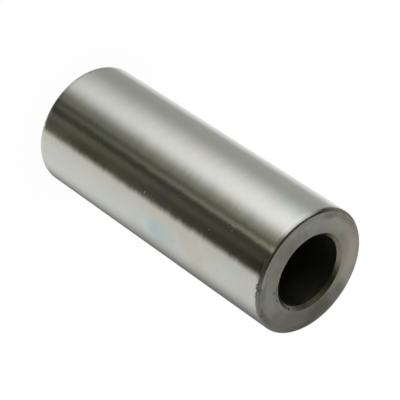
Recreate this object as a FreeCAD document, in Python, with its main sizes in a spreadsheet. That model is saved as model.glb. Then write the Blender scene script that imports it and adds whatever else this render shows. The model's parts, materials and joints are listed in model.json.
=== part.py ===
import FreeCAD, Part
import Sketcher
import math
import os

# Hollow piston pin, also called a gudgeon pin, of hardened and ground steel.
# It is one piece: a thick-walled tube with a plain through bore, two flat turned end faces,
# a 45 degree chamfer at each mouth of the bore and a 45 degree lead-in chamfer round each
# outer edge. A wide radius blends each lead-in into the ground outside, so that the pin
# slides into its bosses without scraping them.
# The origin is the centre of the lower end face, and +Z runs up the pin's axis.
# All lengths are in millimetres.

# Driving dimensions: alias, value as text, and what it measures
DRIVING_SIZES = (
    ("pin_length", "55", "end face to end face"),
    ("outer_diameter", "22", "ground outside"),
    ("bore_diameter", "12.5", "plain through bore"),
    ("lead_in_chamfer", "0.4", "45 degree chamfer of each outer edge, along either leg before its blend"),
    ("lead_in_blend", "0.65", "radius between a lead-in chamfer and the ground outside"),
    ("mouth_chamfer", "0.6", "45 degree chamfer of each bore mouth, along either leg"),
)

NODE = "piston_pin"
SHEET = "Sizes"
OUTPUT_FOLDER = "parts"

# How a sketch counts places: a line's two ends, and its own origin
PLACES = {"start": 1, "end": 2}
OPPOSITE = {"start": "end", "end": "start"}
CENTRE = {"line": -1, "place": "start"}


def make_size_sheet(doc):
    """Return the spreadsheet that holds each driving dimension under its own alias."""
    sheet = doc.addObject("Spreadsheet::Sheet", SHEET)
    for row, (alias, value, meaning) in enumerate(DRIVING_SIZES, start=1):
        sheet.set(f"A{row}", alias)
        sheet.set(f"B{row}", value)
        sheet.setAlias(f"B{row}", alias)
        sheet.set(f"C{row}", meaning)
    doc.recompute()
    return sheet


def origin_feature(body, role):
    """Return the body's own origin plane or axis that has this role."""
    return next(feature for feature in body.Origin.OriginFeatures if feature.Role == role)


def point(line, place):
    """Return a point of a sketch as the pair of numbers that its constraints take."""
    return line, PLACES[place]


def tie(sketch, kind, first, second, name, formula):
    """Hold the distance from one point of the sketch to another to a formula on the sheet."""
    step = sketch.getPoint(*second) - sketch.getPoint(*first)
    drawn = {"DistanceX": step.x, "DistanceY": step.y}[kind]
    index = sketch.addConstraint(Sketcher.Constraint(kind, *first, *second, drawn))
    sketch.renameConstraint(index, name)
    sketch.setExpression(f"Constraints.{name}", formula)


def section_corners(sheet):
    """Return the wall section's corners as (radius, height), once round from the lower bore mouth."""
    length = sheet.pin_length
    outside = sheet.outer_diameter / 2
    bore = sheet.bore_diameter / 2
    lead_in = sheet.lead_in_chamfer
    mouth = sheet.mouth_chamfer
    return (
        (bore, mouth),
        (bore + mouth, 0),
        (outside - lead_in, 0),
        (outside, lead_in),
        (outside, length - lead_in),
        (outside - lead_in, length),
        (bore + mouth, length),
        (bore, length - mouth),
    )


def draw_wall_section(body, sheet):
    """Return the closed section of the wall on one side of the axis, fully held by the sheet."""
    sketch = body.newObject("Sketcher::SketchObject", "wall_section")
    sketch.AttachmentSupport = [(origin_feature(body, "XZ_Plane"), "")]
    sketch.MapMode = "FlatFace"

    corners = [FreeCAD.Vector(radius, height, 0) for radius, height in section_corners(sheet)]
    lines = [
        sketch.addGeometry(Part.LineSegment(corner, following), False)
        for corner, following in zip(corners, corners[1:] + corners[:1])
    ]
    for line, following in zip(lines, lines[1:] + lines[:1]):
        joined = (*point(line, "end"), *point(following, "start"))
        sketch.addConstraint(Sketcher.Constraint("Coincident", *joined))

    low_mouth, low_face, low_lead, outside, high_lead, high_face, high_mouth, bore = lines
    sketch.addConstraint(Sketcher.Constraint("Horizontal", low_face))
    sketch.addConstraint(Sketcher.Constraint("Horizontal", high_face))
    sketch.addConstraint(Sketcher.Constraint("Vertical", outside))
    sketch.addConstraint(Sketcher.Constraint("Vertical", bore))

    # The lower face lies at the origin's height, and the rest is measured from the pin's axis
    centre = point(**CENTRE)
    on_base = (*point(low_face, "start"), centre[0])
    sketch.addConstraint(Sketcher.Constraint("PointOnObject", *on_base))
    bore_foot = point(bore, "start")
    outside_foot = point(outside, "start")
    top = point(high_face, "start")
    tie(sketch, "DistanceX", centre, bore_foot, "bore_radius", f"{SHEET}.bore_diameter / 2")
    tie(sketch, "DistanceX", centre, outside_foot, "outer_radius", f"{SHEET}.outer_diameter / 2")
    tie(sketch, "DistanceY", centre, top, "length", f"{SHEET}.pin_length")

    # Each chamfer: its name, its line, its leg on the sheet, its inner end and its lower end
    chamfers = (
        ("low_mouth", low_mouth, "mouth_chamfer", "start", "end"),
        ("low_lead", low_lead, "lead_in_chamfer", "start", "start"),
        ("high_lead", high_lead, "lead_in_chamfer", "end", "start"),
        ("high_mouth", high_mouth, "mouth_chamfer", "end", "end"),
    )
    for name, line, leg, inner, lower in chamfers:
        across = (point(line, inner), point(line, OPPOSITE[inner]))
        along = (point(line, lower), point(line, OPPOSITE[lower]))
        tie(sketch, "DistanceX", *across, f"{name}_across", f"{SHEET}.{leg}")
        tie(sketch, "DistanceY", *along, f"{name}_along", f"{SHEET}.{leg}")
    return sketch


def circles_of_radius(shape, radius):
    """Return the names of the circular edges that have this radius."""
    return [
        f"Edge{number}"
        for number, edge in enumerate(shape.Edges, start=1)
        if isinstance(edge.Curve, Part.Circle) and math.isclose(edge.Curve.Radius, radius)
    ]


def make_pin(doc, sheet):
    """Return the pin's body: its wall section turned about the axis, with both lead-ins blended."""
    body = doc.addObject("PartDesign::Body", NODE)
    body.Label = NODE
    body.Placement = FreeCAD.Placement()
    section = draw_wall_section(body, sheet)
    doc.recompute()

    turned = body.newObject("PartDesign::Revolution", "turned_tube")
    turned.Profile = section
    turned.ReferenceAxis = (origin_feature(body, "Z_Axis"), [""])
    turned.Angle = 360
    section.Visibility = False
    doc.recompute()

    # Each lead-in chamfer meets the outside in a circle as large as the pin
    blends = body.newObject("PartDesign::Fillet", "lead_in_blends")
    blends.Base = (turned, circles_of_radius(turned.Shape, sheet.outer_diameter / 2))
    blends.setExpression("Radius", f"{SHEET}.lead_in_blend")
    doc.recompute()
    return body


def check_document(doc, body):
    """Stop if an object failed to compute, a sketch is loose or the pin isn't one sound solid."""
    failed = [o.Label for o in doc.Objects if "Invalid" in o.State or "Error" in o.State]
    if failed:
        raise RuntimeError(f"failed to compute: {failed}")
    sketches = [o for o in doc.Objects if o.isDerivedFrom("Sketcher::SketchObject")]
    loose = [sketch.Label for sketch in sketches if not sketch.FullyConstrained]
    if loose:
        raise RuntimeError(f"sketch not fully constrained: {loose}")
    shape = body.Shape
    if shape.isNull() or not shape.isValid() or len(shape.Solids) != 1:
        raise RuntimeError(f"{body.Label} isn't one sound solid")


def main():
    """Model the pin, check it and write its STEP file."""
    doc = FreeCAD.newDocument("piston_pin_model")
    sheet = make_size_sheet(doc)
    pin = make_pin(doc, sheet)
    check_document(doc, pin)
    os.makedirs(OUTPUT_FOLDER, exist_ok=True)
    pin.Shape.exportStep(f"{OUTPUT_FOLDER}/{pin.Label}.step")
    print(f"{pin.Label}: {pin.Shape.Volume:.1f} cubic mm")


main()
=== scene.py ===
"""Looks of a hollow piston pin: a ground and lapped steel tube with turned ends, in a plain white studio."""

import json
import logging
import math
from dataclasses import dataclass
from enum import Enum
from typing import Any

import bpy
from mathutils import Matrix, Vector


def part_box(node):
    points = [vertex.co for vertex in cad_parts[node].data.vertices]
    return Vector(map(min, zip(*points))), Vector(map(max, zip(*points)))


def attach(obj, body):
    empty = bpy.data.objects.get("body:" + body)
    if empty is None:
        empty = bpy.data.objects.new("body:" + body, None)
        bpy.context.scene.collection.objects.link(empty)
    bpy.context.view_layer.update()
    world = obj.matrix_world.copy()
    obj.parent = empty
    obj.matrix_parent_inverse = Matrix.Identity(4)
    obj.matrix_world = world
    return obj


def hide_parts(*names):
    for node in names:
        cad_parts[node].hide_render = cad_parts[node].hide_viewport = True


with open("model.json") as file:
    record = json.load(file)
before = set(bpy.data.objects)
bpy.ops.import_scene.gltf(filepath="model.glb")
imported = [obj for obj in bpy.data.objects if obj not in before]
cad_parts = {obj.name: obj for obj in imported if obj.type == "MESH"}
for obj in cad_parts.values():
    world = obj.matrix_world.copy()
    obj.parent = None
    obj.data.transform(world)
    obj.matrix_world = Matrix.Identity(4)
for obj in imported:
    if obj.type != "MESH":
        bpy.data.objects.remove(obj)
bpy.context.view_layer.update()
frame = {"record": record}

log = logging.getLogger("piston_pin")

NODE = "piston_pin"
BODY = "root"

# Lengths of the pin are written in millimetres, and Blender's unit is the metre
MM = 0.001
PER_MM = 1000.0

# A Mix node has one output for each kind of value, and this is its colour
MIXED_COLOUR = 2

# Most of a noise texture's values lie between these two
NOISE_SPAN = (0.3, 0.7)

# A mark is whole out to the first share of its own reach, and gone at the second
MARK_EDGE = (0.2, 1.1)
# How far the noise moves the edge of a mark whose ragged is 1, as a share of its reach
FRAY_REACH = 4.0

Colour = tuple[float, float, float, float]
Span = tuple[float, float]
Socket = bpy.types.NodeSocket
Tree = bpy.types.NodeTree


def linear(hex_colour: str, gain: float = 1.0) -> Colour:
    """Turn an sRGB hex colour into the linear colour that a shader takes.

    Args:
        hex_colour: six hex digits after a #.
        gain: factor on the linear values, for light rather than paint.

    Returns:
        Red, green, blue and an alpha of 1.
    """
    parts = [int(hex_colour[start:start + 2], 16) / 255 for start in (1, 3, 5)]
    light = [c / 12.92 if c <= 0.04045 else ((c + 0.055) / 1.055) ** 2.4 for c in parts]
    return (*(c * gain for c in light), 1.0)


def add_node(tree: Tree, kind: str, inputs: dict | None = None, **settings: Any) -> Any:
    """Add a node with its settings, its constant inputs and its links.

    Args:
        tree: the shader or geometry tree that gets the node.
        kind: Blender's own name of the node.
        inputs: value or output socket for each input, by identifier, name or number.
        **settings: properties of the node, such as operation.

    Returns:
        The node.
    """
    node = tree.nodes.new(kind)
    for name, value in settings.items():
        setattr(node, name, value)
    for key, value in (inputs or {}).items():
        named = [socket for socket in node.inputs if key in (socket.identifier, socket.name)]
        socket = node.inputs[key] if isinstance(key, int) else named[0]
        if isinstance(value, Socket):
            tree.links.new(value, socket)
        else:
            socket.default_value = value
    return node


def mapped(value: Socket, source: Span, target: Span = (0.0, 1.0)) -> dict[str, Any]:
    """Return the inputs of a Map Range node.

    Args:
        value: what the result depends on.
        source: the values between which the result changes.
        target: the results at those two.

    Returns:
        Value or socket for each input, by name.
    """
    limits = {"From Min": source[0], "From Max": source[1], "To Min": target[0], "To Max": target[1]}
    return {"Value": value, **limits}


def add_stretch(tree: Tree, value: Socket, rise: Span, fall: Span, top: float = 1.0) -> Socket:
    """Add a mask that shows one stretch of a value, with soft ends.

    Args:
        tree: the shader tree that gets the nodes.
        value: what the stretch is measured on.
        rise: where the mask begins to rise, and where it is up.
        fall: where the mask begins to fall, and where it is down.
        top: the mask between the two.

    Returns:
        A socket from 0, off the stretch, to top.
    """
    up = mapped(value, rise)
    risen = add_node(tree, "ShaderNodeMapRange", up, interpolation_type="SMOOTHSTEP")
    down = mapped(value, fall, (top, 0.0))
    fallen = add_node(tree, "ShaderNodeMapRange", down, interpolation_type="SMOOTHSTEP")
    both = {0: risen.outputs["Result"], 1: fallen.outputs["Result"]}
    return add_node(tree, "ShaderNodeMath", both, operation="MULTIPLY").outputs[0]


def add_bearing(tree: Tree, direction: Socket) -> tuple[Socket, Socket]:
    """Add the nodes that tell which way a direction or a place lies from the pin's axis.

    Args:
        tree: the shader tree that gets the nodes.
        direction: the direction or place, with the axis along Z.

    Returns:
        Its azimuth from -180 to 180 degrees, from the -Y side towards -X, and its Z.
    """
    mirrored = {0: direction, 1: (-1, -1, 1)}
    turned = add_node(tree, "ShaderNodeVectorMath", mirrored, operation="MULTIPLY").outputs[0]
    axes = add_node(tree, "ShaderNodeSeparateXYZ", {0: turned}).outputs
    sides = {0: axes["X"], 1: axes["Y"]}
    angle = add_node(tree, "ShaderNodeMath", sides, operation="ARCTAN2").outputs[0]
    degrees = add_node(tree, "ShaderNodeMath", {0: angle}, operation="DEGREES").outputs[0]
    return degrees, axes["Z"]


class Surface(Enum):
    """The pin's surfaces, each with a finish of its own."""

    BORE = "bore"
    OUTSIDE = "outside"
    END_FACE = "end_face"
    LEAD_IN = "lead_in"
    MOUTH = "mouth"


@dataclass(frozen=True)
class LathePlaces:
    """Sockets that tell a shader where on a turned part it is, in millimetres and degrees."""

    position: Socket
    radius: Socket
    angle: Socket
    height: Socket

    @classmethod
    def of(cls, tree: Tree) -> "LathePlaces":
        """Add the nodes that read the place on the part.

        Args:
            tree: the material's node tree.

        Returns:
            Its sockets: the angle runs from the -Y side towards -X, from -180 to 180 degrees.
        """
        place = add_node(tree, "ShaderNodeTexCoord").outputs["Object"]
        scaled = {0: place, 3: PER_MM}
        position = add_node(tree, "ShaderNodeVectorMath", scaled, operation="SCALE").outputs[0]
        flat = add_node(tree, "ShaderNodeVectorMath", {0: position, 1: (1, 1, 0)}, operation="MULTIPLY")
        radius = add_node(tree, "ShaderNodeVectorMath", {0: flat.outputs[0]}, operation="LENGTH")
        angle, height = add_bearing(tree, position)
        return cls(position, radius.outputs["Value"], angle, height)


@dataclass(frozen=True)
class Mark:
    """A soft-edged mark on the pin, such as a film of oil, a scratch, a pit, or a patch of painted highlight
    or painted shade.

    The angle runs from the -Y side towards -X. On a side wall the place is a height and `along`
    is measured along the axis, and on an end face both are measured along the radius. `around`
    and `along` are the mark's reach to either side of its place.
    """

    angle_deg: float
    place_mm: float
    around_mm: float
    along_mm: float
    colour: str
    strength: float
    ragged: float = 0.25

    def mask(self, tree: Tree, places: LathePlaces, across: Socket, arm_mm: float,
             ragged_noise: Socket) -> Socket:
        """Add the nodes that tell how strongly the mark shows.

        Args:
            tree: the material's node tree.
            places: where on the pin the shader is.
            across: the socket that place_mm is measured on, the height or the radius.
            arm_mm: radius that turns the angle into a length round the pin.
            ragged_noise: noise about 0.5 that frays the mark's edge.

        Returns:
            A socket from 0, off the mark, to its strength.
        """
        turned = add_node(tree, "ShaderNodeMath", {0: places.angle, 1: self.angle_deg}, operation="SUBTRACT")
        half_turn = {0: turned.outputs[0], 1: 180.0, 2: -180.0}
        wrapped = add_node(tree, "ShaderNodeMath", half_turn, operation="WRAP").outputs[0]
        scale = math.radians(1) * arm_mm / self.around_mm
        around = add_node(tree, "ShaderNodeMath", {0: wrapped, 1: scale}, operation="MULTIPLY")
        offset = add_node(tree, "ShaderNodeMath", {0: across, 1: self.place_mm}, operation="SUBTRACT")
        along = add_node(tree, "ShaderNodeMath", {0: offset.outputs[0], 1: self.along_mm}, operation="DIVIDE")
        flat = add_node(tree, "ShaderNodeCombineXYZ", {"X": around.outputs[0], "Y": along.outputs[0]})
        away = add_node(tree, "ShaderNodeVectorMath", {0: flat.outputs[0]}, operation="LENGTH")
        reach = self.ragged * FRAY_REACH
        fray = {0: ragged_noise, 1: reach, 2: -reach / 2}
        frayed = add_node(tree, "ShaderNodeMath", fray, operation="MULTIPLY_ADD")
        total = {0: away.outputs["Value"], 1: frayed.outputs[0]}
        edge = add_node(tree, "ShaderNodeMath", total, operation="ADD").outputs[0]
        shown = mapped(edge, MARK_EDGE, (self.strength, 0.0))
        return add_node(tree, "ShaderNodeMapRange", shown, interpolation_type="SMOOTHSTEP").outputs[0]


@dataclass(frozen=True)
class LappedOutside:
    """Case-hardened steel, centreless ground and lapped to a near mirror.

    It shows the room as sharp bands along the pin. The grinding runs round the pin, so the
    bands' edges are slightly frayed line by line, and thin films of oil tint it here and there.
    """

    name: str = "case_hardened_steel_ground_and_lapped"
    colour: str = "#D0D1CD"
    # The polish is a little better in some places than in others, in soft clouds
    roughness: float = 0.17
    roughness_swing: float = 0.015
    cloud_mm: float = 9.0
    anisotropy: float = 0.7
    # Real grinding lines lie about 0.03 mm apart, too fine to show, so they are drawn much coarser
    line_spacing_mm: float = 0.50
    line_length_mm: float = 7.0
    line_lean_deg: float = 0.55
    line_shade: float = 0.985
    # The grinding wheel also leaves a wider, shallower wave
    wave_mm: float = 2.2
    wave_lean_deg: float = 0.25
    film_mm: float = 3.6
    film_share: float = 0.05
    # How finely the edges of the marks are frayed
    fray_per_mm: float = 0.9
    # Real scuffs are hair-fine, so they are drawn coarser too, in a band below each end face
    scuff_mm: float = 0.28
    scuff_lean_deg: float = 6.0
    scuff_band_mm: Span = (0.38, 0.72)
    scuff_fade_mm: Span = (0.10, 0.15)
    # Lapping rolls the ground band off beside the blend: the lean grows between the first two of
    # these places below the end face, and has gone at the third
    roll_off_mm: tuple[float, float, float] = (0.50, 0.75, 1.20)
    roll_off_deg: float = 2.6
    # Thicker patches of oil, and faint stains
    marks: tuple[Mark, ...] = (
        Mark(-51.5, 33.0, 4.2, 3.0, "#B4BCC8", 0.35, 0.20),
        Mark(-50.5, 30.6, 3.2, 2.8, "#AEC4CE", 0.60, 0.15),
        Mark(-49.5, 28.0, 2.8, 1.3, "#C6DCE0", 0.55, 0.10),
        Mark(-59.0, 41.5, 2.6, 3.2, "#C9C4A6", 0.45, 0.30),
        Mark(-45.0, 39.0, 4.0, 4.2, "#C8C0B4", 0.30, 0.30),
        Mark(-36.2, 49.0, 2.4, 3.2, "#C8DAD8", 0.35, 0.20),
        Mark(-64.0, 27.0, 2.6, 6.0, "#B4B7B6", 0.38, 0.20),
        Mark(40.5, 51.2, 2.2, 3.4, "#B6C6C2", 0.30, 0.20),
        Mark(-21.5, 12.0, 1.2, 6.5, "#A08A78", 0.45, 0.35),
        Mark(-14.5, 31.0, 2.4, 2.2, "#B4B8DC", 0.45, 0.20),
        Mark(-11.0, 2.6, 2.4, 3.0, "#BCC0E2", 0.50, 0.20),
    )
    # A scratch scatters light, so that it shows bright on a dark stretch
    scratches: tuple[Mark, ...] = (
        Mark(-22.3, 26.8, 0.45, 0.25, "#FFFFFF", 0.80, 0.10),
        Mark(-7.5, 46.0, 0.20, 0.18, "#FFFFFF", 0.75, 0.10),
        Mark(-6.3, 45.0, 0.20, 0.16, "#FFFFFF", 0.65, 0.10),
        Mark(-10.4, 34.0, 0.22, 0.16, "#FFFFFF", 0.60, 0.10),
        Mark(-16.9, 42.0, 0.20, 0.16, "#FFFFFF", 0.45, 0.10),
        Mark(1.1, 50.0, 0.28, 0.25, "#FFFFFF", 0.45, 0.10),
    )
    scratched_roughness: float = 0.6

    def material(self) -> bpy.types.Material:
        """Make the material.

        Returns:
            The material, ready to be set on the pin.
        """
        paint = bpy.data.materials.new(self.name)
        paint.use_nodes = True
        tree = paint.node_tree
        tree.nodes.clear()
        places = LathePlaces.of(tree)

        # Lines round the pin: noise that hardly changes along the circumference
        squeeze = (1 / self.line_length_mm, 1 / self.line_length_mm, 1 / self.line_spacing_mm)
        lined = {0: places.position, 1: squeeze}
        stretched = add_node(tree, "ShaderNodeVectorMath", lined, operation="MULTIPLY").outputs[0]
        noise = {"Vector": stretched, "Scale": 1.0, "Detail": 2.0}
        lines = add_node(tree, "ShaderNodeTexNoise", noise).outputs["Fac"]
        fray = {"Vector": places.position, "Scale": self.fray_per_mm, "Detail": 4.0}
        frayed = add_node(tree, "ShaderNodeTexNoise", fray).outputs["Fac"]

        # The lines scatter light along the pin and hardly round it
        along_pin = add_node(tree, "ShaderNodeCombineXYZ", {"Z": 1.0}).outputs[0]
        steel = {
            "Base Color": self.add_colour(tree, places, lines, frayed),
            "Metallic": 1.0,
            "Roughness": self.add_roughness(tree, places, frayed),
            "Normal": self.add_normal(tree, places, lines),
            "Anisotropic": self.anisotropy,
            "Tangent": along_pin,
        }
        shader = add_node(tree, "ShaderNodeBsdfPrincipled", steel)
        add_node(tree, "ShaderNodeOutputMaterial", {"Surface": shader.outputs[0]})
        return paint

    def add_colour(self, tree: Tree, places: LathePlaces, lines: Socket, frayed: Socket) -> Socket:
        """Add the steel's colour, with its grinding lines, films of oil and marks.

        Args:
            tree: the material's node tree.
            places: where on the pin the shader is.
            lines: noise that follows the grinding lines.
            frayed: noise about 0.5 that frays the marks' edges.

        Returns:
            The colour.
        """
        shades = mapped(lines, NOISE_SPAN, (self.line_shade, 1.0))
        shade = add_node(tree, "ShaderNodeMapRange", shades).outputs["Result"]
        lined = {"Factor_Float": 1.0, "A_Color": linear(self.colour), "B_Color": shade}
        ground = add_node(tree, "ShaderNodeMix", lined, data_type="RGBA", blend_type="MULTIPLY")
        colour = ground.outputs[MIXED_COLOUR]

        # A film of oil, too thin to see as such, shifts the hue from place to place
        films = {"Vector": places.position, "Scale": 1 / self.film_mm, "Detail": 2.0}
        hue = add_node(tree, "ShaderNodeTexNoise", films).outputs["Color"]
        about_one = add_node(tree, "ShaderNodeVectorMath", {0: hue, 3: 2.0}, operation="SCALE").outputs[0]
        filmed = {"Factor_Float": self.film_share, "A_Color": colour, "B_Color": about_one}
        oiled = add_node(tree, "ShaderNodeMix", filmed, data_type="RGBA", blend_type="MULTIPLY")
        colour = oiled.outputs[MIXED_COLOUR]

        arm = pin_sizes().outer_radius_mm
        for mark in self.marks:
            mask = mark.mask(tree, places, places.height, arm, frayed)
            tinted = {"Factor_Float": mask, "A_Color": colour, "B_Color": linear(mark.colour)}
            colour = add_node(tree, "ShaderNodeMix", tinted, data_type="RGBA").outputs[MIXED_COLOUR]
        return colour

    def add_roughness(self, tree: Tree, places: LathePlaces, frayed: Socket) -> Socket:
        """Add the steel's roughness, with its clouds and scratches.

        Args:
            tree: the material's node tree.
            places: where on the pin the shader is.
            frayed: noise about 0.5 that frays the scratches' edges.

        Returns:
            The roughness.
        """
        clouds = {"Vector": places.position, "Scale": 1 / self.cloud_mm, "Detail": 3.0}
        cloud = add_node(tree, "ShaderNodeTexNoise", clouds).outputs["Fac"]
        swing = self.roughness_swing
        polish = mapped(cloud, NOISE_SPAN, (self.roughness - swing, self.roughness + swing))
        rough = add_node(tree, "ShaderNodeMapRange", polish).outputs["Result"]

        arm = pin_sizes().outer_radius_mm
        for scratch in self.scratches:
            mask = scratch.mask(tree, places, places.height, arm, frayed)
            scuffed = {"Factor_Float": mask, "A_Float": rough, "B_Float": self.scratched_roughness}
            rough = add_node(tree, "ShaderNodeMix", scuffed, data_type="FLOAT").outputs[0]
        return rough

    def add_normal(self, tree: Tree, places: LathePlaces, lines: Socket) -> Socket:
        """Add the steel's normal, which leans a little to one side or the other.

        Each line, and each patch in the wider wave, leans its own way, which frays the edges of
        what the steel mirrors.

        Args:
            tree: the material's node tree.
            places: where on the pin the shader is.
            lines: noise that follows the grinding lines.

        Returns:
            The normal.
        """
        swing = math.radians(self.line_lean_deg)
        leans = mapped(lines, NOISE_SPAN, (-swing, swing))
        line_lean = add_node(tree, "ShaderNodeMapRange", leans, clamp=False).outputs["Result"]
        waves = {"Vector": places.position, "Scale": 1 / self.wave_mm, "Detail": 1.0}
        wave = add_node(tree, "ShaderNodeTexNoise", waves).outputs["Fac"]
        roll = math.radians(self.wave_lean_deg)
        rolls = mapped(wave, NOISE_SPAN, (-roll, roll))
        wave_lean = add_node(tree, "ShaderNodeMapRange", rolls, clamp=False).outputs["Result"]
        leaning = add_node(tree, "ShaderNodeMath", {0: line_lean, 1: wave_lean}, operation="ADD").outputs[0]

        crossed = {0: (0, 0, 1), 1: places.position}
        across = add_node(tree, "ShaderNodeVectorMath", crossed, operation="CROSS_PRODUCT").outputs[0]
        round_pin = add_node(tree, "ShaderNodeVectorMath", {0: across}, operation="NORMALIZE").outputs[0]
        push = {0: round_pin, 3: leaning}
        pushed = add_node(tree, "ShaderNodeVectorMath", push, operation="SCALE").outputs[0]
        normal = add_node(tree, "ShaderNodeNewGeometry").outputs["Normal"]
        leant = add_node(tree, "ShaderNodeVectorMath", {0: normal, 1: pushed}, operation="ADD").outputs[0]
        worn = self.add_end_wear(tree, places, leant)
        return add_node(tree, "ShaderNodeVectorMath", {0: worn}, operation="NORMALIZE").outputs[0]

    def add_end_wear(self, tree: Tree, places: LathePlaces, normal: Socket) -> Socket:
        """Add the wear where the ground band meets each lead-in's blend.

        Lapping rolls the band off a little beside the blend, and fine scuffs sparkle there.

        Args:
            tree: the material's node tree.
            places: where on the pin the shader is.
            normal: the normal so far.

        Returns:
            The normal, leant towards the pin's end at the roll-off, and up or down at the scuffs.
        """
        middle = pin_sizes().length_mm / 2
        heights = {0: places.height, 1: middle}
        offset = add_node(tree, "ShaderNodeMath", heights, operation="SUBTRACT").outputs[0]
        away = add_node(tree, "ShaderNodeMath", {0: offset}, operation="ABSOLUTE").outputs[0]
        depth = add_node(tree, "ShaderNodeMath", {0: middle, 1: away}, operation="SUBTRACT").outputs[0]

        start, end = self.scuff_band_mm
        before, after = self.scuff_fade_mm
        band = add_stretch(tree, depth, (start - before, start), (end, end + after))
        specks = {"Vector": places.position, "Scale": 1 / self.scuff_mm, "Detail": 1.0}
        speck = add_node(tree, "ShaderNodeTexNoise", specks).outputs["Fac"]
        swing = math.radians(self.scuff_lean_deg)
        leans = mapped(speck, NOISE_SPAN, (-swing, swing))
        leaning = add_node(tree, "ShaderNodeMapRange", leans, clamp=False).outputs["Result"]
        scuffed = add_node(tree, "ShaderNodeMath", {0: leaning, 1: band}, operation="MULTIPLY").outputs[0]

        blend, edge, flat = self.roll_off_mm
        rolled = add_stretch(tree, depth, (blend, edge), (edge, flat), math.radians(self.roll_off_deg))
        side = add_node(tree, "ShaderNodeMath", {0: offset}, operation="SIGN").outputs[0]
        both = {0: rolled, 1: side, 2: scuffed}
        upward = add_node(tree, "ShaderNodeMath", both, operation="MULTIPLY_ADD").outputs[0]
        tilt = add_node(tree, "ShaderNodeCombineXYZ", {"Z": upward}).outputs[0]
        return add_node(tree, "ShaderNodeVectorMath", {0: normal, 1: tilt}, operation="ADD").outputs[0]


@dataclass(frozen=True)
class TurnedSteel:
    """Steel that is turned or drawn, and then left as the heat treatment leaves it.

    The tool leaves fine rings, and the heat makes the metal a dull, faintly mottled grey.
    """

    name: str
    colour: str
    roughness: float
    worn_colour: str
    roughness_swing: float = 0.04
    # The tool's rings lie about 0.1 mm apart, too fine to show, so they are drawn coarser
    ring_spacing_mm: float = 0.30
    ring_depth_mm: float = 0.0015
    anisotropy: float = 0.8
    mottle_mm: float = 1.4
    # The rings and the mottle are added up, and between these sums the worn colour comes in
    worn_span: Span = (0.75, 1.25)
    worn_share: float = 0.75
    # The upper end's own marks, painted highlights and shade: the lower end has none
    marks: tuple[Mark, ...] = ()

    def material(self) -> bpy.types.Material:
        """Make the material.

        Returns:
            The material, ready to be set on the pin.
        """
        paint = bpy.data.materials.new(self.name)
        paint.use_nodes = True
        tree = paint.node_tree
        tree.nodes.clear()
        places = LathePlaces.of(tree)

        # Rings: noise along the radius and height alone, broken up a little by the place
        ringed = {"X": places.radius, "Y": places.height}
        across = add_node(tree, "ShaderNodeCombineXYZ", ringed).outputs[0]
        rings = {"Vector": across, "Scale": 1 / self.ring_spacing_mm, "Detail": 3.0}
        ring = add_node(tree, "ShaderNodeTexNoise", rings).outputs["Fac"]
        mottles = {"Vector": places.position, "Scale": 1 / self.mottle_mm, "Detail": 5.0, "Roughness": 0.6}
        mottle = add_node(tree, "ShaderNodeTexNoise", mottles).outputs["Fac"]

        summed = add_node(tree, "ShaderNodeMath", {0: mottle, 1: ring}, operation="ADD").outputs[0]
        wear = mapped(summed, self.worn_span, (0.0, self.worn_share))
        worn = add_node(tree, "ShaderNodeMapRange", wear).outputs["Result"]
        tones = {"Factor_Float": worn, "A_Color": linear(self.colour), "B_Color": linear(self.worn_colour)}
        colour = add_node(tree, "ShaderNodeMix", tones, data_type="RGBA").outputs[MIXED_COLOUR]
        heights = {0: places.height, 1: pin_sizes().length_mm / 2}
        upper = add_node(tree, "ShaderNodeMath", heights, operation="GREATER_THAN").outputs[0]
        # Painted highlights and shade, laid on the upper end alone
        for mark in self.marks:
            spot = mark.mask(tree, places, places.radius, mark.place_mm, mottle)
            mask = add_node(tree, "ShaderNodeMath", {0: spot, 1: upper}, operation="MULTIPLY").outputs[0]
            tinted = {"Factor_Float": mask, "A_Color": colour, "B_Color": linear(mark.colour)}
            colour = add_node(tree, "ShaderNodeMix", tinted, data_type="RGBA").outputs[MIXED_COLOUR]

        swing = self.roughness_swing
        dull = mapped(mottle, NOISE_SPAN, (self.roughness - swing, self.roughness + swing))
        rough = add_node(tree, "ShaderNodeMapRange", dull).outputs["Result"]
        groove = {"Height": ring, "Strength": 1.0, "Distance": self.ring_depth_mm * MM}
        bump = add_node(tree, "ShaderNodeBump", groove).outputs["Normal"]

        # The rings scatter light across themselves and hardly along them
        across_rings = {0: places.position, 1: (1, 1, 0)}
        outward = add_node(tree, "ShaderNodeVectorMath", across_rings, operation="MULTIPLY").outputs[0]
        steel = {"Base Color": colour, "Metallic": 1.0, "Roughness": rough, "Normal": bump,
                 "Anisotropic": self.anisotropy, "Tangent": outward}
        shader = add_node(tree, "ShaderNodeBsdfPrincipled", steel)
        add_node(tree, "ShaderNodeOutputMaterial", {"Surface": shader.outputs[0]})
        return paint
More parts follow.
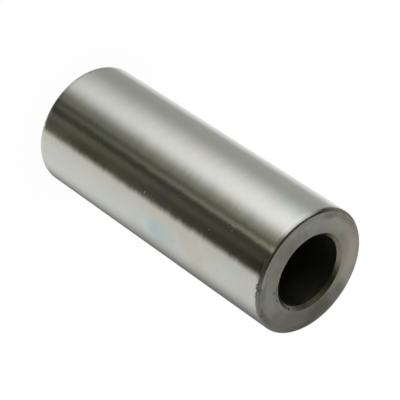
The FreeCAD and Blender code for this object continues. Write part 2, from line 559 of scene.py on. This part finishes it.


# Painted highlights and shade of the near end face: warm and light on one side and dull on the other, as its
# turned rings catch the light, with small painted glints and dark specks
FACE_SHEEN_AND_SHADE = (
    Mark(134, 8.9, 7.0, 2.6, "#F8F2E2", 0.90, 0.12),
    Mark(124, 7.5, 4.6, 1.4, "#D6C6B8", 0.50, 0.15),
    Mark(79, 8.5, 4.2, 1.9, "#F0EFE2", 0.70, 0.15),
    Mark(91, 8.9, 1.7, 0.9, "#F2EEE0", 0.55, 0.20),
    Mark(163, 9.7, 3.0, 1.3, "#E8E8E0", 0.75, 0.20),
    Mark(2, 8.8, 3.0, 1.4, "#B8B8AE", 0.45, 0.20),
    Mark(-162, 7.2, 2.8, 0.8, "#9C998C", 0.50, 0.20),
    Mark(-163, 9.9, 2.4, 0.9, "#9C9B92", 0.50, 0.20),
    Mark(-60, 7.05, 1.7, 0.5, "#A4A49C", 0.55, 0.20),
    Mark(48, 9.0, 4.4, 1.8, "#E2E4E0", 0.70, 0.20),
    Mark(56, 7.9, 3.0, 1.4, "#DCDFDA", 0.55, 0.20),
    Mark(104, 8.8, 2.2, 1.2, "#F0E8DA", 0.60, 0.20),
    Mark(-52, 8.4, 3.6, 1.6, "#D4D6D6", 0.60, 0.20),
    Mark(-31, 10.3, 1.8, 0.6, "#E2E0D2", 0.60, 0.20),
    Mark(-18, 10.4, 2.6, 0.5, "#DEDCCE", 0.55, 0.20),
    Mark(-46, 10.3, 1.6, 0.6, "#B2B2AA", 0.60, 0.20),
    Mark(-120, 10.2, 2.6, 0.7, "#8E8D88", 0.60, 0.20),
    Mark(20, 10.0, 3.0, 0.8, "#E4E4DA", 0.65, 0.20),
    Mark(6, 7.7, 2.4, 1.1, "#ACACA2", 0.50, 0.20),
    Mark(177, 9.2, 1.8, 1.8, "#A4A398", 0.55, 0.20),
    Mark(-150, 8.6, 5.0, 2.6, "#8B8B80", 0.90, 0.12),
    Mark(-116, 7.6, 4.4, 1.6, "#9E9E94", 0.65, 0.15),
    Mark(-109, 9.6, 5.4, 2.2, "#9E9E96", 0.65, 0.15),
    Mark(-84, 9.0, 1.8, 1.8, "#A6A69C", 0.50, 0.20),
    Mark(-45, 7.1, 1.3, 0.4, "#8E8E84", 0.60, 0.20),
    Mark(76, 9.1, 1.6, 0.8, "#E8E8DA", 0.60, 0.20),
    Mark(64, 9.8, 1.6, 0.70, "#AAAAA2", 0.65, 0.30),
    Mark(-77, 10.3, 2.8, 0.7, "#A09C94", 0.75, 0.30),
    Mark(-63, 10.4, 1.8, 0.45, "#988F84", 0.75, 0.40),
    Mark(-42, 9.7, 2.2, 0.5, "#A9AAAC", 0.55, 0.30),
    Mark(-136, 10.0, 2.6, 0.8, "#86857C", 0.75, 0.20),
    Mark(33, 8.0, 0.5, 1.0, "#AEAEA2", 0.50, 0.30),
    Mark(80, 8.9, 0.34, 0.28, "#FFFBEC", 1.00, 0.10),
    Mark(51, 9.4, 0.30, 0.55, "#F2F4F0", 0.70, 0.10),
    Mark(38, 8.9, 0.34, 0.30, "#F2F2EA", 0.80, 0.10),
    Mark(-49, 7.65, 0.42, 0.42, "#6E6D66", 0.60, 0.20),
    Mark(-63, 7.3, 0.44, 0.26, "#77766C", 0.50, 0.20),
    Mark(-54, 7.15, 0.38, 0.26, "#77766C", 0.50, 0.20),
    Mark(-74, 10.35, 0.35, 0.35, "#7C766E", 0.70, 0.20),
    Mark(-38, 10.5, 0.35, 0.25, "#5E5C56", 0.85, 0.20),
)

# Painted shade: dark spots on the near lead-in, two of them in its dents
LEAD_IN_SHADE_SPOTS = (
    Mark(-37.6, 10.78, 0.32, 0.24, "#34322C", 0.90, 0.20),
    Mark(-42.0, 10.80, 0.26, 0.22, "#45433C", 0.80, 0.20),
    Mark(-66.0, 10.75, 0.50, 0.20, "#6A655C", 0.70, 0.40),
)

# Painted shade and highlights in the near bore mouth: dark where it mirrors the dark bore, with dark spots at
# its dent, and a light crescent on one side
MOUTH_SHADE_AND_HIGHLIGHTS = (
    Mark(133, 6.6, 3.2, 0.9, "#E4D8C0", 0.65, 0.15),
    Mark(-160, 6.6, 7.0, 0.9, "#7E7C60", 0.85, 0.15),
    Mark(172, 6.5, 2.4, 0.70, "#646242", 0.75, 0.20),
    Mark(-146, 6.6, 1.6, 0.60, "#94907C", 0.60, 0.30),
    Mark(-108, 6.6, 1.4, 0.60, "#B4B29A", 0.50, 0.30),
    Mark(64, 6.75, 3.0, 0.85, "#403E34", 0.92, 0.12),
    Mark(14, 6.7, 6.0, 0.80, "#8E8C7E", 0.60, 0.12),
    Mark(-68, 6.7, 2.7, 0.70, "#44433A", 0.88, 0.15),
    Mark(-90, 6.65, 0.28, 0.22, "#3A3830", 0.90, 0.40),
    Mark(-98, 6.7, 0.30, 0.25, "#4A483C", 0.85, 0.40),
    Mark(-117, 6.5, 1.00, 0.28, "#7A7660", 0.55, 0.40),
)

FINISHES: dict[Surface, LappedOutside | TurnedSteel] = {
    # The scale of the heat treatment leaves the drawn bore almost black
    Surface.BORE: TurnedSteel("drawn_steel_with_heat_treatment_scale", "#5C5E50", 0.55, "#525446"),
    # A near mirror, which shows the tent as bands along the pin
    Surface.OUTSIDE: LappedOutside(),
    # Dull grey with faint rings, with painted highlights and shade on the near end
    Surface.END_FACE: TurnedSteel("case_hardened_steel_faced_on_a_lathe", "#D3D3C8", 0.42, "#B4B4A9",
                                  marks=FACE_SHEEN_AND_SHADE),
    # Cut finer than the faces, so it is glossy, and mirrors what is dark as a thin line, with spots of
    # painted shade
    Surface.LEAD_IN: TurnedSteel("case_hardened_steel_chamfered", "#C6C6BC", 0.17, "#AEAEA4",
                                 marks=LEAD_IN_SHADE_SPOTS),
    # Half glossy and warm, with painted shade and highlights on it, as a ring round the dark bore
    Surface.MOUTH: TurnedSteel("case_hardened_steel_bore_chamfer", "#C6C3B4", 0.30, "#AEABA0",
                               marks=MOUTH_SHADE_AND_HIGHLIGHTS),
}


@dataclass(frozen=True)
class Nick:
    """A small dent or burr in the pin's metal.

    The angle runs from the -Y side towards -X. A positive depth goes into the metal.
    """

    angle_deg: float
    radius_mm: float
    height_mm: float
    size_mm: float
    depth_mm: float


@dataclass(frozen=True)
class PistonPin:
    """The pin: a thick-walled tube, turned, case-hardened, ground outside and chamfered at each edge."""

    outer_radius_mm: float
    bore_radius_mm: float
    length_mm: float
    # The frame doesn't name the sizes of the edges, so they are repeated here
    lead_in_mm: float = 0.4
    lead_in_blend_mm: float = 0.65
    mouth_mm: float = 0.6
    # The other corners are broken so slightly that they only catch the light
    edge_break_mm: float = 0.04
    blend_points: int = 4
    segments: int = 512
    loop_spacing_mm: float = 0.16
    most_loops: int = 20
    # A corner of the section that lies this close to the outside is on it
    flush_mm: float = 0.01
    # A blend's first and last turn lie between these, and the section's other turns don't
    crisp_deg: Span = (4.0, 9.0)
    # Slopes above these are a chamfer, at 45 degrees, and an end face, at 90
    chamfer_from_deg: float = 42.0
    face_from_deg: float = 65.0
    nicks: tuple[Nick, ...] = (
        Nick(321.5, 10.70, 54.90, 0.34, 0.05),
        Nick(318.0, 10.85, 54.70, 0.24, 0.03),
        Nick(326.0, 10.78, 54.82, 0.22, 0.04),
        Nick(270.0, 6.75, 54.90, 0.32, 0.06),
    )

    def tree(self) -> Tree:
        """Make the Geometry Nodes tree that turns the wall's section round the axis.

        Returns:
            The tree, with the pin's sizes as its named inputs.
        """
        tree = bpy.data.node_groups.new("turned_tube", "GeometryNodeTree")
        tree.is_modifier = True
        face = tree.interface
        face.new_socket("Geometry", in_out="OUTPUT", socket_type="NodeSocketGeometry")
        for name in self.inputs():
            whole = name in ("Segments", "Most Loops")
            kind = "NodeSocketInt" if whole else "NodeSocketFloat"
            face.new_socket(name, in_out="INPUT", socket_type=kind)
        sizes = add_node(tree, "NodeGroupInput").outputs
        section = self.add_section(tree, sizes)

        # The section is carried round a circle through the middle of the wall
        radii = {0: sizes["Outer Radius"], 1: sizes["Bore Radius"]}
        both = add_node(tree, "ShaderNodeMath", radii, operation="ADD").outputs[0]
        middle = add_node(tree, "ShaderNodeMath", {0: both, 1: 0.5}, operation="MULTIPLY").outputs[0]
        ring = {"Resolution": sizes["Segments"], "Radius": middle}
        path = add_node(tree, "GeometryNodeCurvePrimitiveCircle", ring).outputs["Curve"]
        sweep = {"Curve": path, "Profile Curve": section}
        tube = add_node(tree, "GeometryNodeCurveToMesh", sweep).outputs["Mesh"]
        half = add_node(tree, "ShaderNodeMath", {0: sizes["Length"], 1: 0.5}, operation="MULTIPLY").outputs[0]
        lift = add_node(tree, "ShaderNodeCombineXYZ", {"Z": half}).outputs[0]
        raised = {"Geometry": tube, "Translation": lift}
        tube = add_node(tree, "GeometryNodeTransform", raised).outputs["Geometry"]
        tube = self.add_nicks(tree, tube)
        tube = self.add_crisp_edges(tree, tube)
        tube = self.add_finishes(tree, tube, middle)
        shrunk = {"Geometry": tube, "Scale": (MM, MM, MM)}
        tube = add_node(tree, "GeometryNodeTransform", shrunk).outputs["Geometry"]
        done = add_node(tree, "GeometryNodeRealizeInstances", {"Geometry": tube}).outputs["Geometry"]
        add_node(tree, "NodeGroupOutput", {"Geometry": done})
        return tree

    def inputs(self) -> dict[str, float]:
        """Name the tree's inputs.

        Returns:
            Each input's value by its name, with lengths in millimetres.
        """
        return {
            "Outer Radius": self.outer_radius_mm,
            "Bore Radius": self.bore_radius_mm,
            "Length": self.length_mm,
            "Lead-in Chamfer": self.lead_in_mm,
            "Lead-in Blend": self.lead_in_blend_mm,
            "Mouth Chamfer": self.mouth_mm,
            "Edge Break": self.edge_break_mm,
            "Segments": self.segments,
            "Loop Spacing": self.loop_spacing_mm,
            "Most Loops": self.most_loops,
        }

    def add_section(self, tree: Tree, sizes: Any) -> Socket:
        """Add the wall's section: a rectangle with four chamfers, their corners blended.

        Args:
            tree: the Geometry Nodes tree.
            sizes: the tree's named inputs.

        Returns:
            The section's curve, with its outer side at +X.
        """
        radii = {0: sizes["Outer Radius"], 1: sizes["Bore Radius"]}
        wall = add_node(tree, "ShaderNodeMath", radii, operation="SUBTRACT").outputs[0]
        plain = {"Width": wall, "Height": sizes["Length"]}
        section = add_node(tree, "GeometryNodeCurvePrimitiveQuadrilateral", plain).outputs["Curve"]

        position = add_node(tree, "GeometryNodeInputPosition").outputs[0]
        axes = add_node(tree, "ShaderNodeSeparateXYZ", {0: position})
        outside = {"A": axes.outputs["X"], "B": 0.0}
        is_outer = add_node(tree, "FunctionNodeCompare", outside, operation="GREATER_THAN").outputs[0]
        legs = {"Switch": is_outer, "False": sizes["Mouth Chamfer"], "True": sizes["Lead-in Chamfer"]}
        leg = add_node(tree, "GeometryNodeSwitch", legs, input_type="FLOAT").outputs[0]
        cut = {"Curve": section, "Count": 1, "Radius": leg}
        section = add_node(tree, "GeometryNodeFilletCurve", cut, mode="POLY").outputs["Curve"]

        # Only the corner between a lead-in chamfer and the outside has the large blend
        half_wall = add_node(tree, "ShaderNodeMath", {0: wall, 1: 0.5}, operation="MULTIPLY").outputs[0]
        edge = {0: half_wall, 1: axes.outputs["X"]}
        inset = add_node(tree, "ShaderNodeMath", edge, operation="SUBTRACT").outputs[0]
        near = {"A": inset, "B": self.flush_mm}
        on_outside = add_node(tree, "FunctionNodeCompare", near, operation="LESS_THAN").outputs[0]
        radii = {"Switch": on_outside, "False": sizes["Edge Break"], "True": sizes["Lead-in Blend"]}
        radius = add_node(tree, "GeometryNodeSwitch", radii, input_type="FLOAT").outputs[0]
        rounded = {"Curve": section, "Count": self.blend_points, "Radius": radius}
        section = add_node(tree, "GeometryNodeFilletCurve", rounded, mode="POLY").outputs["Curve"]

        # Long faces are divided, so that marks on them can be real dents
        following = add_node(tree, "GeometryNodeOffsetPointInCurve", {"Offset": 1}).outputs["Point Index"]
        there = {"Value": position, "Index": following}
        ahead = add_node(tree, "GeometryNodeFieldAtIndex", there, data_type="FLOAT_VECTOR").outputs[0]
        gap = {0: position, 1: ahead}
        length = add_node(tree, "ShaderNodeVectorMath", gap, operation="DISTANCE").outputs["Value"]
        shares = {0: length, 1: sizes["Loop Spacing"]}
        share = add_node(tree, "ShaderNodeMath", shares, operation="DIVIDE").outputs[0]
        capped = {0: share, 1: sizes["Most Loops"]}
        loops = add_node(tree, "ShaderNodeMath", capped, operation="MINIMUM").outputs[0]
        whole = add_node(tree, "FunctionNodeFloatToInt", {0: loops}, rounding_mode="FLOOR").outputs[0]
        divided = {"Curve": section, "Cuts": whole}
        return add_node(tree, "GeometryNodeSubdivideCurve", divided).outputs["Curve"]

    def add_nicks(self, tree: Tree, tube: Socket) -> Socket:
        """Add the nicks to the pin's surface.

        Args:
            tree: the Geometry Nodes tree.
            tube: the pin's mesh in millimetres.

        Returns:
            The mesh with its surface pushed in or out at each nick.
        """
        for nick in self.nicks:
            angle = math.radians(nick.angle_deg)
            centre = (-nick.radius_mm * math.sin(angle), -nick.radius_mm * math.cos(angle), nick.height_mm)
            position = add_node(tree, "GeometryNodeInputPosition").outputs[0]
            away = {0: position, 1: centre}
            distance = add_node(tree, "ShaderNodeVectorMath", away, operation="DISTANCE").outputs["Value"]
            fall = mapped(distance, (0.0, nick.size_mm), (-nick.depth_mm, 0.0))
            push = add_node(tree, "ShaderNodeMapRange", fall, interpolation_type="SMOOTHSTEP").outputs[0]
            normal = add_node(tree, "GeometryNodeInputNormal").outputs["Normal"]
            shift = add_node(tree, "ShaderNodeVectorMath", {0: normal, 3: push}, operation="SCALE").outputs[0]
            moved = {"Geometry": tube, "Offset": shift}
            tube = add_node(tree, "GeometryNodeSetPosition", moved).outputs["Geometry"]
        return tube

    def add_crisp_edges(self, tree: Tree, tube: Socket) -> Socket:
        """Keep flat faces flat to the eye: an edge where a face meets its blend isn't smoothed.

        Args:
            tree: the Geometry Nodes tree.
            tube: the pin's mesh.

        Returns:
            The mesh with those edges sharp. A blend starts with a turn of 5.6 degrees, and two
            neighbours round the pin differ by under a degree.
        """
        bend = add_node(tree, "GeometryNodeInputMeshEdgeAngle").outputs["Unsigned Angle"]
        least = {"A": bend, "B": math.radians(self.crisp_deg[0])}
        most = {"A": bend, "B": math.radians(self.crisp_deg[1])}
        bends = add_node(tree, "FunctionNodeCompare", least, operation="GREATER_THAN").outputs[0]
        slight = add_node(tree, "FunctionNodeCompare", most, operation="LESS_THAN").outputs[0]
        both = add_node(tree, "FunctionNodeBooleanMath", {0: bends, 1: slight}, operation="AND").outputs[0]
        crisp = {"Geometry": tube, "Selection": both, "Shade Smooth": False}
        return add_node(tree, "GeometryNodeSetShadeSmooth", crisp, domain="EDGE").outputs["Geometry"]

    def add_finishes(self, tree: Tree, tube: Socket, middle: Socket) -> Socket:
        """Give each surface its finish, told apart by its slope and its place in the wall.

        Args:
            tree: the Geometry Nodes tree.
            tube: the pin's mesh in millimetres.
            middle: the radius of the middle of the wall.

        Returns:
            The mesh with its materials.
        """
        position = add_node(tree, "GeometryNodeInputPosition").outputs[0]
        levelled = {0: position, 1: (1, 1, 0)}
        flat = add_node(tree, "ShaderNodeVectorMath", levelled, operation="MULTIPLY").outputs[0]
        radius = add_node(tree, "ShaderNodeVectorMath", {0: flat}, operation="LENGTH").outputs["Value"]
        normal = add_node(tree, "GeometryNodeInputNormal").outputs["Normal"]
        upright = add_node(tree, "ShaderNodeSeparateXYZ", {0: normal}).outputs["Z"]
        slope = add_node(tree, "ShaderNodeMath", {0: upright}, operation="ABSOLUTE").outputs[0]
        out_half = {"A": radius, "B": middle}
        in_outer = add_node(tree, "FunctionNodeCompare", out_half, operation="GREATER_THAN").outputs[0]
        in_inner = add_node(tree, "FunctionNodeBooleanMath", {0: in_outer}, operation="NOT").outputs[0]
        tilted = {"A": slope, "B": math.sin(math.radians(self.chamfer_from_deg))}
        chamfered = add_node(tree, "FunctionNodeCompare", tilted, operation="GREATER_THAN").outputs[0]
        level = {"A": slope, "B": math.sin(math.radians(self.face_from_deg))}
        faced = add_node(tree, "FunctionNodeCompare", level, operation="GREATER_THAN").outputs[0]
        leads = {0: chamfered, 1: in_outer}
        lead_in = add_node(tree, "FunctionNodeBooleanMath", leads, operation="AND").outputs[0]
        mouths = {0: chamfered, 1: in_inner}
        mouth = add_node(tree, "FunctionNodeBooleanMath", mouths, operation="AND").outputs[0]

        # Later ones go over earlier ones
        for surface, where in (
            (Surface.BORE, True),
            (Surface.OUTSIDE, in_outer),
            (Surface.LEAD_IN, lead_in),
            (Surface.MOUTH, mouth),
            (Surface.END_FACE, faced),
        ):
            finish = {"Geometry": tube, "Selection": where, "Material": FINISHES[surface].material()}
            tube = add_node(tree, "GeometryNodeSetMaterial", finish).outputs["Geometry"]
        return tube

    def mesh(self) -> bpy.types.Mesh:
        """Make the pin's plain mesh.

        Returns:
            The mesh in metres, in the CAD part's own place.
        """
        blank = bpy.data.objects.new("blank", bpy.data.meshes.new("blank"))
        bpy.context.scene.collection.objects.link(blank)
        tree = self.tree()
        modifier = blank.modifiers.new("turned_tube", "NODES")
        modifier.node_group = tree
        sockets = {item.name: item.identifier for item in tree.interface.items_tree if item.in_out == "INPUT"}
        for name, value in self.inputs().items():
            modifier[sockets[name]] = value
        blank.update_tag()
        evaluated = blank.evaluated_get(bpy.context.evaluated_depsgraph_get())
        mesh = bpy.data.meshes.new_from_object(evaluated)
        blank.modifiers.remove(modifier)
        bpy.data.objects.remove(blank)
        bpy.data.node_groups.remove(tree)
        return mesh

    def build(self) -> bpy.types.Object:
        """Build and dress the pin.

        Returns:
            The finished pin, riding on its body in place of the CAD node.
        """
        pin = bpy.data.objects.new("ground_pin", self.mesh())
        bpy.context.scene.collection.objects.link(pin)
        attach(pin, BODY)
        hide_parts(NODE)
        return pin


def pin_sizes() -> PistonPin:
    """Read the pin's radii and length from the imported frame.

    Returns:
        The pin with those sizes.
    """
    mounts = {mount["name"]: mount for mount in frame["record"]["mounts"]}
    low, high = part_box(NODE)
    return PistonPin(
        outer_radius_mm=mounts["outside"]["dims"]["r_mm"],
        bore_radius_mm=mounts["bore"]["dims"]["r_mm"],
        length_mm=(high[2] - low[2]) * PER_MM,
    )


@dataclass(frozen=True)
class Panel:
    """One stretch of the white tent round the pin, told by the azimuth where it begins.

    The azimuth runs from the -Y side towards -X. Over `fade_deg` the tent turns from what comes
    before into this panel. Towards its upper edge the panel is brighter by the share `rise`, and
    begins later by `lean_deg`; towards its lower edge it is the other way round. Past its upper
    edge, up to the roof, its level is `above`, or the edge's own where that is None.
    """

    name: str
    start_deg: float
    fade_deg: float
    level: float
    tint: str = "#FFFFFF"
    rise: float = 0.0
    lean_deg: float = 0.0
    above: float | None = None


@dataclass(frozen=True)
class Roof:
    """The tent above its panels: grey, dark over the front, and hung higher at the front and the back."""

    grey: str = "#F6F5F0"
    grey_level: float = 0.26
    dark: str = "#F0EECC"
    dark_level: float = 0.045
    eaves_deg: float = -30.0
    front_eaves_deg: float = 27.0
    back_eaves_deg: float = -6.0
    fade_deg: float = 10.0
    dark_from_deg: Span = (-95.0, -35.0)
    dark_to_deg: Span = (95.0, 135.0)
    front_from_deg: Span = (-58.0, -44.0)
    front_to_deg: Span = (80.0, 110.0)
    back_from_deg: Span = (152.0, 166.0)
    back_to_deg: Span = (194.0, 208.0)


@dataclass(frozen=True)
class Studio:
    """A white tent with a pale floor: soft light from all round and a dark opening on the -Y side."""

    # The panels are hung from this azimuth once round
    seam_deg: float = -100.0
    # Elevations of the panels' lower and upper edge, and the fade to the light past the upper one
    edges_deg: Span = (-45.0, -35.0)
    past_edge_deg: Span = (-33.0, -22.0)
    tent: Panel = Panel("side_reflector", -100, 0, 0.846, "#FCFDF9", -0.066)
    panels: tuple[Panel, ...] = (
        Panel("warm_cloth", -84, 16, 0.789, "#FFFCF4", -0.025),
        Panel("opening_edge", -62.4, 13.5, 0.105, "#F4F2C8", -0.60, 2.2, above=0.060),
        Panel("opening", -50.5, 7, 0.080, "#F4F2C8", -0.92, -1.0, above=0.060),
        Panel("warm_wall", -35, 8, 0.1185, "#F8F5D2", -0.68, above=0.070),
        Panel("lens", -22.1, 5, 0.059, "#F4F4C8", 0.0, 0.6, above=0.050),
        Panel("room", -12, 6, 0.1213, "#F8F8D8", 0.357, above=0.110),
        Panel("lit_door", -5.7, 2, 0.205, "#F8F8DC", 1.00, -2.6, above=0.400),
        Panel("door_frame", -6.7, 2, 0.112, "#F8F8D8", 0.64, 5.8, above=0.135),
        Panel("curtain", 3, 9, 0.228, "#F8F8DA", 0.34, above=0.165),
        Panel("soft_box_edge", 13, 18.5, 0.542, "#F9F9ED", 0.26, -6.7, above=0.300),
        Panel("soft_box", 22.3, 23.2, 1.048, "#F9F9F5", 0.34, -6.2, above=1.050),
        Panel("side_wall", 46.6, 55, 0.4444, "#FDFDF6", 0.12, 2.1, above=0.210),
        Panel("back_wall", 128.5, 26, 0.89),
        Panel("gap", 178, 16, 0.195, "#FCFCFA"),
        Panel("far_reflector", 192.6, 58, 0.846, "#FCFDF9", -0.066, 9.6),
    )
    roof: Roof = Roof()
    floor_side_m: float = 8.0
    # The camera sees this share of the floor as plain white: the rest keeps the pin's soft shadow
    floor_glow: float = 0.94

    def build(self) -> None:
        """Set up the floor and the world, and the plain look of the render."""
        scene = bpy.context.scene
        scene.view_settings.view_transform = "Standard"
        scene.world = self.world()
        self.floor()

    def world(self) -> bpy.types.World:
        """Make the world.

        Returns:
            The world: plain white light, with the tent's panels for glossy rays alone.
        """
        world = bpy.data.worlds.new("white_tent")
        world.use_nodes = True
        tree = world.node_tree
        tree.nodes.clear()
        direction = add_node(tree, "ShaderNodeTexCoord").outputs["Generated"]
        bearing, rise = add_bearing(tree, direction)
        span = {0: bearing, 1: self.seam_deg, 2: self.seam_deg + 360}
        azimuth = add_node(tree, "ShaderNodeMath", span, operation="WRAP").outputs[0]
        climb = add_node(tree, "ShaderNodeMath", {0: rise}, operation="ARCSINE").outputs[0]
        elevation = add_node(tree, "ShaderNodeMath", {0: climb}, operation="DEGREES").outputs[0]

        between = mapped(elevation, self.edges_deg, (-1.0, 1.0))
        height = add_node(tree, "ShaderNodeMapRange", between).outputs["Result"]
        beyond = mapped(elevation, self.past_edge_deg)
        past = add_node(tree, "ShaderNodeMapRange", beyond, interpolation_type="SMOOTHSTEP").outputs[0]
        light = self.cloth(tree, self.tent, height, past)
        for panel in self.panels:
            leant = {0: height, 1: -panel.lean_deg, 2: azimuth}
            along = add_node(tree, "ShaderNodeMath", leant, operation="MULTIPLY_ADD").outputs[0]
            edge = mapped(along, (panel.start_deg, panel.start_deg + panel.fade_deg))
            cover = add_node(tree, "ShaderNodeMapRange", edge, interpolation_type="SMOOTHSTEP").outputs[0]
            hung = {"Factor_Float": cover, "A_Color": light, "B_Color": self.cloth(tree, panel, height, past)}
            mixed = add_node(tree, "ShaderNodeMix", hung, data_type="RGBA", label=panel.name)
            light = mixed.outputs[MIXED_COLOUR]
        light = self.under_roof(tree, light, azimuth, elevation)

        seen = add_node(tree, "ShaderNodeLightPath").outputs["Is Glossy Ray"]
        shown = {"Factor_Float": seen, "A_Color": (1.0, 1.0, 1.0, 1.0), "B_Color": light}
        colour = add_node(tree, "ShaderNodeMix", shown, data_type="RGBA").outputs[MIXED_COLOUR]
        glow = add_node(tree, "ShaderNodeBackground", {"Color": colour, "Strength": 1.0})
        add_node(tree, "ShaderNodeOutputWorld", {"Surface": glow.outputs[0]})
        return world

    def cloth(self, tree: Tree, panel: Panel, height: Socket, past: Socket) -> Socket:
        """Add a panel's own light.

        Args:
            tree: the world's node tree.
            panel: the panel.
            height: from -1 at the panels' lower edge to 1 at their upper edge.
            past: from 0, between the edges, to 1, past the upper one.

        Returns:
            The light's colour.
        """
        halved = {0: height, 1: 0.5, 2: 0.5}
        share = add_node(tree, "ShaderNodeMath", halved, operation="MULTIPLY_ADD").outputs[0]
        foot = linear(panel.tint, panel.level * (1 - panel.rise))
        top = linear(panel.tint, panel.level * (1 + panel.rise))
        lit = {"Factor_Float": share, "A_Color": foot, "B_Color": top}
        light = add_node(tree, "ShaderNodeMix", lit, data_type="RGBA").outputs[MIXED_COLOUR]
        if panel.above is None:
            return light
        faded = {"Factor_Float": past, "A_Color": light, "B_Color": linear(panel.tint, panel.above)}
        return add_node(tree, "ShaderNodeMix", faded, data_type="RGBA").outputs[MIXED_COLOUR]

    def under_roof(self, tree: Tree, light: Socket, azimuth: Socket, elevation: Socket) -> Socket:
        """Add the roof over the panels.

        Args:
            tree: the world's node tree.
            light: the panels' light.
            azimuth: in degrees, from the -Y side towards -X.
            elevation: in degrees.

        Returns:
            The whole tent's light.
        """
        roof = self.roof
        dark = add_stretch(tree, azimuth, roof.dark_from_deg, roof.dark_to_deg)
        eaves = roof.eaves_deg
        for height, start, end in (
            (roof.front_eaves_deg, roof.front_from_deg, roof.front_to_deg),
            (roof.back_eaves_deg, roof.back_from_deg, roof.back_to_deg),
        ):
            where = add_stretch(tree, azimuth, start, end)
            lifted = {0: where, 1: height - roof.eaves_deg, 2: eaves}
            eaves = add_node(tree, "ShaderNodeMath", lifted, operation="MULTIPLY_ADD").outputs[0]
        over = add_node(tree, "ShaderNodeMath", {0: elevation, 1: eaves}, operation="SUBTRACT").outputs[0]
        fade = mapped(over, (0.0, roof.fade_deg))
        above = add_node(tree, "ShaderNodeMapRange", fade, interpolation_type="SMOOTHSTEP").outputs[0]
        tones = {"Factor_Float": dark, "A_Color": linear(roof.grey, roof.grey_level),
                 "B_Color": linear(roof.dark, roof.dark_level)}
        tone = add_node(tree, "ShaderNodeMix", tones, data_type="RGBA").outputs[MIXED_COLOUR]
        closed = {"Factor_Float": above, "A_Color": light, "B_Color": tone}
        return add_node(tree, "ShaderNodeMix", closed, data_type="RGBA").outputs[MIXED_COLOUR]

    def floor(self) -> bpy.types.Object:
        """Make the pale floor.

        Returns:
            The floor, which keeps the pin's soft shadow and isn't mirrored in the pin.
        """
        half = self.floor_side_m / 2
        corners = [(-half, -half, 0), (half, -half, 0), (half, half, 0), (-half, half, 0)]
        mesh = bpy.data.meshes.new("floor")
        mesh.from_pydata(corners, [], [(0, 1, 2, 3)])
        floor = bpy.data.objects.new("floor", mesh)
        bpy.context.scene.collection.objects.link(floor)

        paint = bpy.data.materials.new("white_card")
        paint.use_nodes = True
        tree = paint.node_tree
        tree.nodes.clear()
        matt = add_node(tree, "ShaderNodeBsdfDiffuse", {"Color": linear("#FFFFFF")}).outputs[0]
        glow = add_node(tree, "ShaderNodeEmission", {"Color": (1, 1, 1, 1), "Strength": 1.0}).outputs[0]
        paths = add_node(tree, "ShaderNodeLightPath")
        seen = {0: paths.outputs["Is Camera Ray"], 1: self.floor_glow}
        share = add_node(tree, "ShaderNodeMath", seen, operation="MULTIPLY").outputs[0]
        card = add_node(tree, "ShaderNodeMixShader", {0: share, 1: matt, 2: glow}).outputs[0]
        add_node(tree, "ShaderNodeOutputMaterial", {"Surface": card})
        mesh.materials.append(paint)
        floor.visible_glossy = False
        return floor


@dataclass(frozen=True)
class PhotoCamera:
    """The camera of the photograph, at the pin standing on its end, turned so that the pin lies aslant."""

    eye_mm: tuple[float, float, float] = (-0.02, -254.04, 226.65)
    aim_mm: tuple[float, float, float] = (0.25, 0.0, 29.05)
    roll_deg: float = 123.99
    lens_mm: float = 177.40
    sensor_mm: float = 36.0

    def build(self) -> bpy.types.Object:
        """Place the camera.

        Returns:
            The camera, set as the scene's own.
        """
        ahead = (Vector(self.aim_mm) - Vector(self.eye_mm)).normalized()
        level = ahead.cross(Vector((0, 0, 1))).normalized()
        above = level.cross(ahead)
        roll = math.radians(self.roll_deg)
        right = level * math.cos(roll) + above * math.sin(roll)
        up = right.cross(ahead)
        data = bpy.data.cameras.new("photo_camera")
        data.lens = self.lens_mm
        data.sensor_width = self.sensor_mm
        camera = bpy.data.objects.new("photo_camera", data)
        turn = Matrix((right, up, -ahead)).transposed().to_4x4()
        camera.matrix_world = Matrix.Translation(Vector(self.eye_mm) * MM) @ turn
        bpy.context.scene.collection.objects.link(camera)
        bpy.context.scene.camera = camera
        return camera


def main() -> None:
    """Build the camera, the studio and the pin, and report the pin."""
    logging.basicConfig(level=logging.INFO, format="%(name)s: %(message)s")
    PhotoCamera().build()
    Studio().build()
    pin = pin_sizes().build()
    pin.data.calc_loop_triangles()
    triangles = len(pin.data.loop_triangles)
    finishes = ", ".join(slot.name for slot in pin.data.materials)
    log.info("%s: %d triangles, %s", pin.name, triangles, finishes)


if __name__ == "__main__":
    main()
